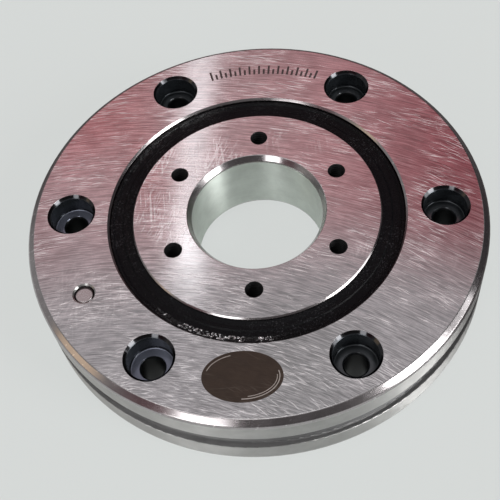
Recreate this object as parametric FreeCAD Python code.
"""Slewing ring bearing: a crossed roller bearing with one-piece, bolt-through inner and outer rings.

The outer ring has six counterbored bolt holes and a lubrication groove round its rim. The inner ring has a
plain bore and six tapped holes. Between them, in two facing 90 degree V races, runs one row of cylindrical
rollers whose axes lean alternately in and out at 45 degrees, with a saddle-shaped spacer between each two.
The rollers go in through a radial hole in the outer ring, which a plug fills and a pin through both faces
holds. A rubber lip seal closes the gap between the rings on each face.

Frame: millimetres, +Z along the axis of rotation, origin on that axis in the plane of the lower faces. The
counterbores open on the upper face. Angles are measured from +X, the way of the right-hand rule about +Z.
"""

import FreeCAD
import Part

import math
import os

from FreeCAD import Rotation, Vector

# Driving dimensions
BORE_DIA = 20.0
OUTER_DIA = 70.0
WIDTH = 12.0
PITCH_DIA = 41.5  # circle through the roller centres
ROLLER_DIA = 5.0
ROLLER_LENGTH = 4.8
ROLLER_COUNT = 22  # even, so that the lean alternates all the way round
RACE_CLEARANCE = 0.03  # between a roller's side and a race

# Bolt holes in the outer ring
BOLT_COUNT = 6
BOLT_PCD = 57.0
BOLT_HOLE_DIA = 3.4
BOLT_HOLE_BREAK = 0.25
COUNTERBORE_DIA = 6.5
COUNTERBORE_DEPTH = 3.3
COUNTERBORE_CHAMFER = 0.45
COUNTERBORE_CORNER = 0.25

# M3 coarse tapped holes in the inner ring, half a pitch round from the bolt holes
TAP_COUNT = 6
TAP_PCD = 28.0
TAP_START_DEG = 30.0
TAP_MINOR_DIA = 2.5
TAP_MAJOR_DIA = 3.0
TAP_PITCH = 0.5
TAP_CREST = 0.12  # width of the flat that is left between two turns
TAP_ROOT = 0.07  # width of the flat at the bottom of a turn

# Rim of the outer ring
RIM_CHAMFER_RADIAL = 1.0
RIM_CHAMFER_AXIAL = 0.75
RIM_BLEND = 0.7
FACE_EDGE_BLEND = 0.3  # where the ground face meets the rim's chamfer
GROOVE_WIDTH = 3.0
GROOVE_DEPTH = 0.8
OIL_HOLE_DIA = 2.0
OIL_HOLE_ANGLES = (330.0, 150.0)

# Bore of the inner ring
BORE_CHAMFER_RADIAL = 0.65
BORE_CHAMFER_AXIAL = 0.95
BORE_BLEND = 0.5
BORE_EDGE_BLEND = 0.15

# Filling plug and its pin
PLUG_ANGLE = 210.0
PLUG_DIA = 6.0
PIN_DIA = 3.0
PIN_RECESS = 0.25
PIN_END_CHAMFER = 0.25
PIN_HOLE_CHAMFER = 0.2
FIT_GAP = 0.01  # radial gap round the plug and the pin

# Gap between the rings, and the recess in each face that holds a seal
RING_GAP_INNER_R = 20.35
RING_GAP_OUTER_R = 21.15
SEAL_INNER_R = 19.0  # the land on the inner ring that the lips run on
SEAL_OUTER_R = 22.5
SEAL_RECESS_DEPTH = 1.9
UNDERCUT_R = 23.15
UNDERCUT_HEIGHT = 0.7
UNDERCUT_TAPER = 0.2
SEAL_SEAT_CHAMFER = 0.3
SEAL_LAND_CHAMFER = 0.22
LIP_GAP = 0.03

EDGE_BREAK = 0.12
RACE_RELIEF_HALF = 0.5  # half width of the relief at the bottom of each V
RACE_RELIEF_DEPTH = 0.2

# Spacers
SPACER_HALF_SIDE = 2.25
SPACER_HALF_THICKNESS = 1.7
SPACER_CORNER_R = 2.8
SPACER_POCKET_GAP = 0.04

# Values worked out from those above
TOP = WIDTH
MID = WIDTH / 2.0
PITCH_R = PITCH_DIA / 2.0
OUTER_R = OUTER_DIA / 2.0
BORE_R = BORE_DIA / 2.0
ROLLER_R = ROLLER_DIA / 2.0
RACE_REACH = (ROLLER_R + RACE_CLEARANCE) * math.sqrt(2.0)  # pitch circle to the point of a V
ROLLER_STEP = 360.0 / ROLLER_COUNT
OVERCUT = 1.0  # how far a cutting tool stands past the face it cuts
AXIS_Z = Vector(0, 0, 1)
ORIGIN = Vector(0, 0, 0)


# Helpers

def tangent_arc(before, corner, after, radius):
    """The two tangent points and the middle of the arc that rounds a corner."""
    into = (before - corner).normalize()
    out = (after - corner).normalize()
    half = into.getAngle(out) / 2.0
    reach = radius / math.tan(half)
    centre = corner + (into + out).normalize() * (radius / math.sin(half))
    middle = centre + (corner - centre).normalize() * radius
    return corner + into * reach, middle, corner + out * reach


def profile_face(points):
    """A flat face in the XZ plane from (radius, height) or (radius, height, corner radius) points."""
    corners = [Vector(p[0], 0, p[1]) for p in points]
    radii = [p[2] if len(p) > 2 else 0.0 for p in points]
    count = len(points)
    edges = []
    starts = []
    ends = []
    for i in range(count):
        if radii[i] > 0:
            first, middle, last = tangent_arc(corners[i - 1], corners[i], corners[(i + 1) % count], radii[i])
            edges.append(Part.Arc(first, middle, last).toShape())
        else:
            first = last = corners[i]
        starts.append(first)
        ends.append(last)
    for i in range(count):
        edges.append(Part.LineSegment(ends[i], starts[(i + 1) % count]).toShape())
    return Part.Face(Part.Wire(Part.__sortEdges__(edges)))


def turned(points):
    """The solid of revolution about Z of a closed profile."""
    solid = profile_face(points).revolve(ORIGIN, AXIS_Z, 360)
    if solid.Volume < 0:
        solid.reverse()
    return solid


def mirrored_profile(upper):
    """A closed profile from its upper half, reflected in the mid plane of the bearing."""
    lower = [(p[0], WIDTH - p[1], *p[2:]) for p in reversed(upper)]
    return upper + lower


def polar(radius, angle_deg, height=0.0):
    angle = math.radians(angle_deg)
    return Vector(radius * math.cos(angle), radius * math.sin(angle), height)


def around(solid, count, start_deg=0.0):
    """Copies of a solid that was made at angle 0, spaced evenly about Z."""
    copies = []
    for i in range(count):
        copy = solid.copy()
        copy.rotate(ORIGIN, AXIS_Z, start_deg + i * 360.0 / count)
        copies.append(copy)
    return copies


def radial_cylinder(radius, start_r, end_r, angle_deg):
    """A cylinder along a radius at mid height."""
    return Part.makeCylinder(radius, end_r - start_r, polar(start_r, angle_deg, MID), polar(1, angle_deg))


def flipped(solid):
    """The same solid turned over, so that what was on the upper face is on the lower one."""
    copy = solid.copy()
    copy.rotate(Vector(0, 0, MID), Vector(1, 0, 0), 180)
    return copy


def only_solid(shape, name):
    """The one solid of a shape, checked."""
    solids = shape.Solids
    if len(solids) != 1 or not solids[0].isValid():
        raise RuntimeError(f"{name}: {len(solids)} solids, valid {[s.isValid() for s in solids]}")
    return solids[0]


# Rings

def outer_ring_body():
    """The outer ring as turned, before its holes."""
    point_r = PITCH_R + RACE_REACH
    race_edge = MID + point_r - RING_GAP_OUTER_R
    shelf = TOP - SEAL_RECESS_DEPTH
    undercut_top = shelf + UNDERCUT_HEIGHT
    upper = [
        (OUTER_R - GROOVE_DEPTH, MID + GROOVE_WIDTH / 2, 0.25),
        (OUTER_R, MID + GROOVE_WIDTH / 2, EDGE_BREAK),
        (OUTER_R, TOP - RIM_CHAMFER_AXIAL, RIM_BLEND),
        (OUTER_R - RIM_CHAMFER_RADIAL, TOP, FACE_EDGE_BLEND),
        (SEAL_OUTER_R + SEAL_SEAT_CHAMFER, TOP),
        (SEAL_OUTER_R, TOP - SEAL_SEAT_CHAMFER, EDGE_BREAK),
        (SEAL_OUTER_R, undercut_top + UNDERCUT_TAPER),
        (UNDERCUT_R, undercut_top),
        (UNDERCUT_R, shelf),
        (RING_GAP_OUTER_R, shelf, EDGE_BREAK),
        (RING_GAP_OUTER_R, race_edge, EDGE_BREAK),
        (point_r - RACE_RELIEF_HALF, MID + RACE_RELIEF_HALF),
        (point_r + RACE_RELIEF_DEPTH, MID + RACE_RELIEF_HALF),
    ]
    return turned(mirrored_profile(upper))


def inner_ring_body():
    """The inner ring as turned, before its holes."""
    point_r = PITCH_R - RACE_REACH
    race_edge = MID + RING_GAP_INNER_R - point_r
    shelf = TOP - SEAL_RECESS_DEPTH
    upper = [
        (point_r - RACE_RELIEF_DEPTH, MID + RACE_RELIEF_HALF),
        (point_r + RACE_RELIEF_HALF, MID + RACE_RELIEF_HALF),
        (RING_GAP_INNER_R, race_edge, EDGE_BREAK),
        (RING_GAP_INNER_R, shelf, EDGE_BREAK),
        (SEAL_INNER_R, shelf, 0.2),
        (SEAL_INNER_R, TOP - SEAL_LAND_CHAMFER, EDGE_BREAK),
        (SEAL_INNER_R - SEAL_LAND_CHAMFER, TOP),
        (BORE_R + BORE_CHAMFER_RADIAL, TOP, BORE_EDGE_BLEND),
        (BORE_R, TOP - BORE_CHAMFER_AXIAL, BORE_BLEND),
    ]
    return turned(mirrored_profile(upper))


def bolt_hole_tool():
    """A through hole with its counterbore and the breaks on its edges, on the axis at angle 0."""
    hole_r = BOLT_HOLE_DIA / 2
    bore_r = COUNTERBORE_DIA / 2
    floor = TOP - COUNTERBORE_DEPTH
    profile = [
        (0, -OVERCUT),
        (hole_r + BOLT_HOLE_BREAK + OVERCUT, -OVERCUT),
        (hole_r, BOLT_HOLE_BREAK),
        (hole_r, floor - BOLT_HOLE_BREAK),
        (hole_r + BOLT_HOLE_BREAK, floor),
        (bore_r, floor, COUNTERBORE_CORNER),
        (bore_r, TOP - COUNTERBORE_CHAMFER),
        (bore_r + COUNTERBORE_CHAMFER + OVERCUT, TOP + OVERCUT),
        (0, TOP + OVERCUT),
    ]
    tool = turned(profile)
    tool.translate(polar(BOLT_PCD / 2, 0))
    return tool


def pin_hole_tool():
    """The through hole for the plug's pin, chamfered at both faces."""
    hole_r = PIN_DIA / 2 + FIT_GAP
    upper = [
        (hole_r, TOP - PIN_HOLE_CHAMFER),
        (hole_r + PIN_HOLE_CHAMFER + OVERCUT, TOP + OVERCUT),
        (0, TOP + OVERCUT),
    ]
    lower = [(r, WIDTH - z) for r, z in reversed(upper)]
    tool = turned(upper + lower)
    tool.translate(polar(BOLT_PCD / 2, PLUG_ANGLE))
    return tool


def tapped_hole_tool():
    """A drilled hole and one helical V thread that runs out past both faces, on the axis at angle 0."""
    minor_r = TAP_MINOR_DIA / 2
    major_r = TAP_MAJOR_DIA / 2
    height = WIDTH + 2 * OVERCUT
    drill = Part.makeCylinder(minor_r, height, Vector(0, 0, -OVERCUT))
    helix = Part.makeHelix(TAP_PITCH, height, minor_r)
    helix.translate(Vector(0, 0, -OVERCUT))
    mouth = (TAP_PITCH - TAP_CREST) / 2
    inside = 0.1  # how far the cutter's section starts inside the drilled wall
    slope = (mouth - TAP_ROOT / 2) / (major_r - minor_r)
    section = [
        (minor_r - inside, mouth + inside * slope),
        (major_r, TAP_ROOT / 2),
        (major_r, -TAP_ROOT / 2),
        (minor_r - inside, -mouth - inside * slope),
    ]
    corners = [Vector(r, 0, z - OVERCUT) for r, z in section]
    thread = Part.Wire(helix).makePipeShell([Part.makePolygon(corners + corners[:1])], True, True)
    tool = drill.fuse(thread)
    tool.translate(polar(TAP_PCD / 2, 0))
    return tool


def make_outer_ring(body):
    tools = around(bolt_hole_tool(), BOLT_COUNT)
    tools.append(pin_hole_tool())
    tools.append(radial_cylinder(PLUG_DIA / 2, PITCH_R, OUTER_R + OVERCUT, PLUG_ANGLE))
    for angle in OIL_HOLE_ANGLES:
        tools.append(radial_cylinder(OIL_HOLE_DIA / 2, PITCH_R, OUTER_R + OVERCUT, angle))
    return body.cut(tools)


def make_inner_ring(body):
    return body.cut(around(tapped_hole_tool(), TAP_COUNT, TAP_START_DEG))


# Plug and pin

def make_filler_plug(body):
    """A radial plug whose inner end carries the race and whose outer end carries the rim's groove."""
    blank = radial_cylinder(PLUG_DIA / 2 - FIT_GAP, PITCH_R, OUTER_R + OVERCUT, PLUG_ANGLE)
    return blank.common(body).cut(pin_hole_tool())


def make_plug_pin():
    pin_r = PIN_DIA / 2
    end = TOP - PIN_RECESS
    upper = [
        (pin_r, end - PIN_END_CHAMFER),
        (pin_r - PIN_END_CHAMFER, end, 0.06),
        (0, end),
    ]
    lower = [(p[0], WIDTH - p[1], *p[2:]) for p in reversed(upper)]
    pin = turned(upper + lower)
    pin.translate(polar(BOLT_PCD / 2, PLUG_ANGLE))
    return pin


# Seals

def make_upper_seal():
    """A moulded rubber ring: a bead snapped under the outer ring's edge, a web, and two lips on the land."""
    shelf = TOP - SEAL_RECESS_DEPTH
    bead_r = UNDERCUT_R - 0.03
    bead_top = shelf + UNDERCUT_HEIGHT - 0.04
    lip_r = SEAL_INNER_R + LIP_GAP
    profile = [
        (bead_r, shelf + 0.02, 0.08),
        (bead_r, bead_top - 0.05, 0.08),
        (SEAL_OUTER_R - 0.04, bead_top + UNDERCUT_TAPER),
        (SEAL_OUTER_R - 0.04, 11.42, 0.16),
        (22.02, 11.42, 0.12),
        (21.82, 11.22, 0.15),
        (20.62, 11.22, 0.15),
        (20.42, 11.40, 0.12),
        (19.80, 11.40, 0.20),
        (lip_r, 11.52, 0.03),
        (lip_r, 11.40),
        (19.62, 11.12, 0.10),
        (19.62, 10.88, 0.10),
        (lip_r, 10.60),
        (lip_r, 10.48, 0.03),
        (19.90, 10.36, 0.20),
        (21.30, 10.36, 0.20),
        (21.62, shelf + 0.02, 0.10),
    ]
    return turned(profile)


# Roller train

def lean_axis(index):
    """Roller axes lean out and in at 45 degrees by turns, each pointing upwards, in its own radial plane."""
    sign = 1 if index % 2 == 0 else -1
    angle = math.radians(index * ROLLER_STEP)
    return Vector(sign * math.cos(angle), sign * math.sin(angle), 1).normalize()


def roller_centre(index):
    return polar(PITCH_R, index * ROLLER_STEP, MID)


def make_roller(index):
    """A plain cylinder with rounded ends on its leaning axis."""
    half = ROLLER_LENGTH / 2
    rounding = 0.18
    roller = turned([(0, -half), (ROLLER_R, -half, rounding), (ROLLER_R, half, rounding), (0, half)])
    roller.Placement = FreeCAD.Placement(roller_centre(index), Rotation(AXIS_Z, lean_axis(index)))
    return roller


def pocket_tool(index):
    """The space that roller number index needs, which is cut from the spacers beside it."""
    radius = ROLLER_R + SPACER_POCKET_GAP
    axis = lean_axis(index)
    start = roller_centre(index) - axis * ROLLER_DIA
    return Part.makeCylinder(radius, 2 * ROLLER_DIA, start, axis)


def make_spacer(index):
    """A resin block halfway between two rollers, hollowed on each side to the roller that it faces."""
    side = 2 * SPACER_HALF_SIDE
    thick = 2 * SPACER_HALF_THICKNESS
    block = Part.makeBox(side, thick, side, Vector(-side / 2, -thick / 2, -side / 2))
    block.rotate(ORIGIN, Vector(0, 1, 0), 45)
    rounding = Part.makeCylinder(SPACER_CORNER_R, thick, Vector(0, -thick / 2, 0), Vector(0, 1, 0))
    block = block.common(rounding)
    block.translate(Vector(PITCH_R, 0, MID))
    block.rotate(ORIGIN, AXIS_Z, (index + 0.5) * ROLLER_STEP)
    return block.cut([pocket_tool(index), pocket_tool(index + 1)])


def build():
    """Every sub-part by name."""
    outer_body = outer_ring_body()
    upper_seal = make_upper_seal()
    nodes = {
        "outer_ring": make_outer_ring(outer_body),
        "inner_ring": make_inner_ring(inner_ring_body()),
        "filler_plug": make_filler_plug(outer_body),
        "plug_pin": make_plug_pin(),
        "upper_seal": upper_seal,
        "lower_seal": flipped(upper_seal),
    }
    for i in range(ROLLER_COUNT):
        nodes[f"roller_{i + 1:02d}"] = make_roller(i)
        nodes[f"spacer_{i + 1:02d}"] = make_spacer(i)
    return nodes


def main():
    os.makedirs("parts", exist_ok=True)
    for name, shape in build().items():
        solid = only_solid(shape, name)
        solid.exportStep(f"parts/{name}.step")
        print(f"{name}: {solid.Volume:.2f} mm3, {len(solid.Faces)} faces")


main()
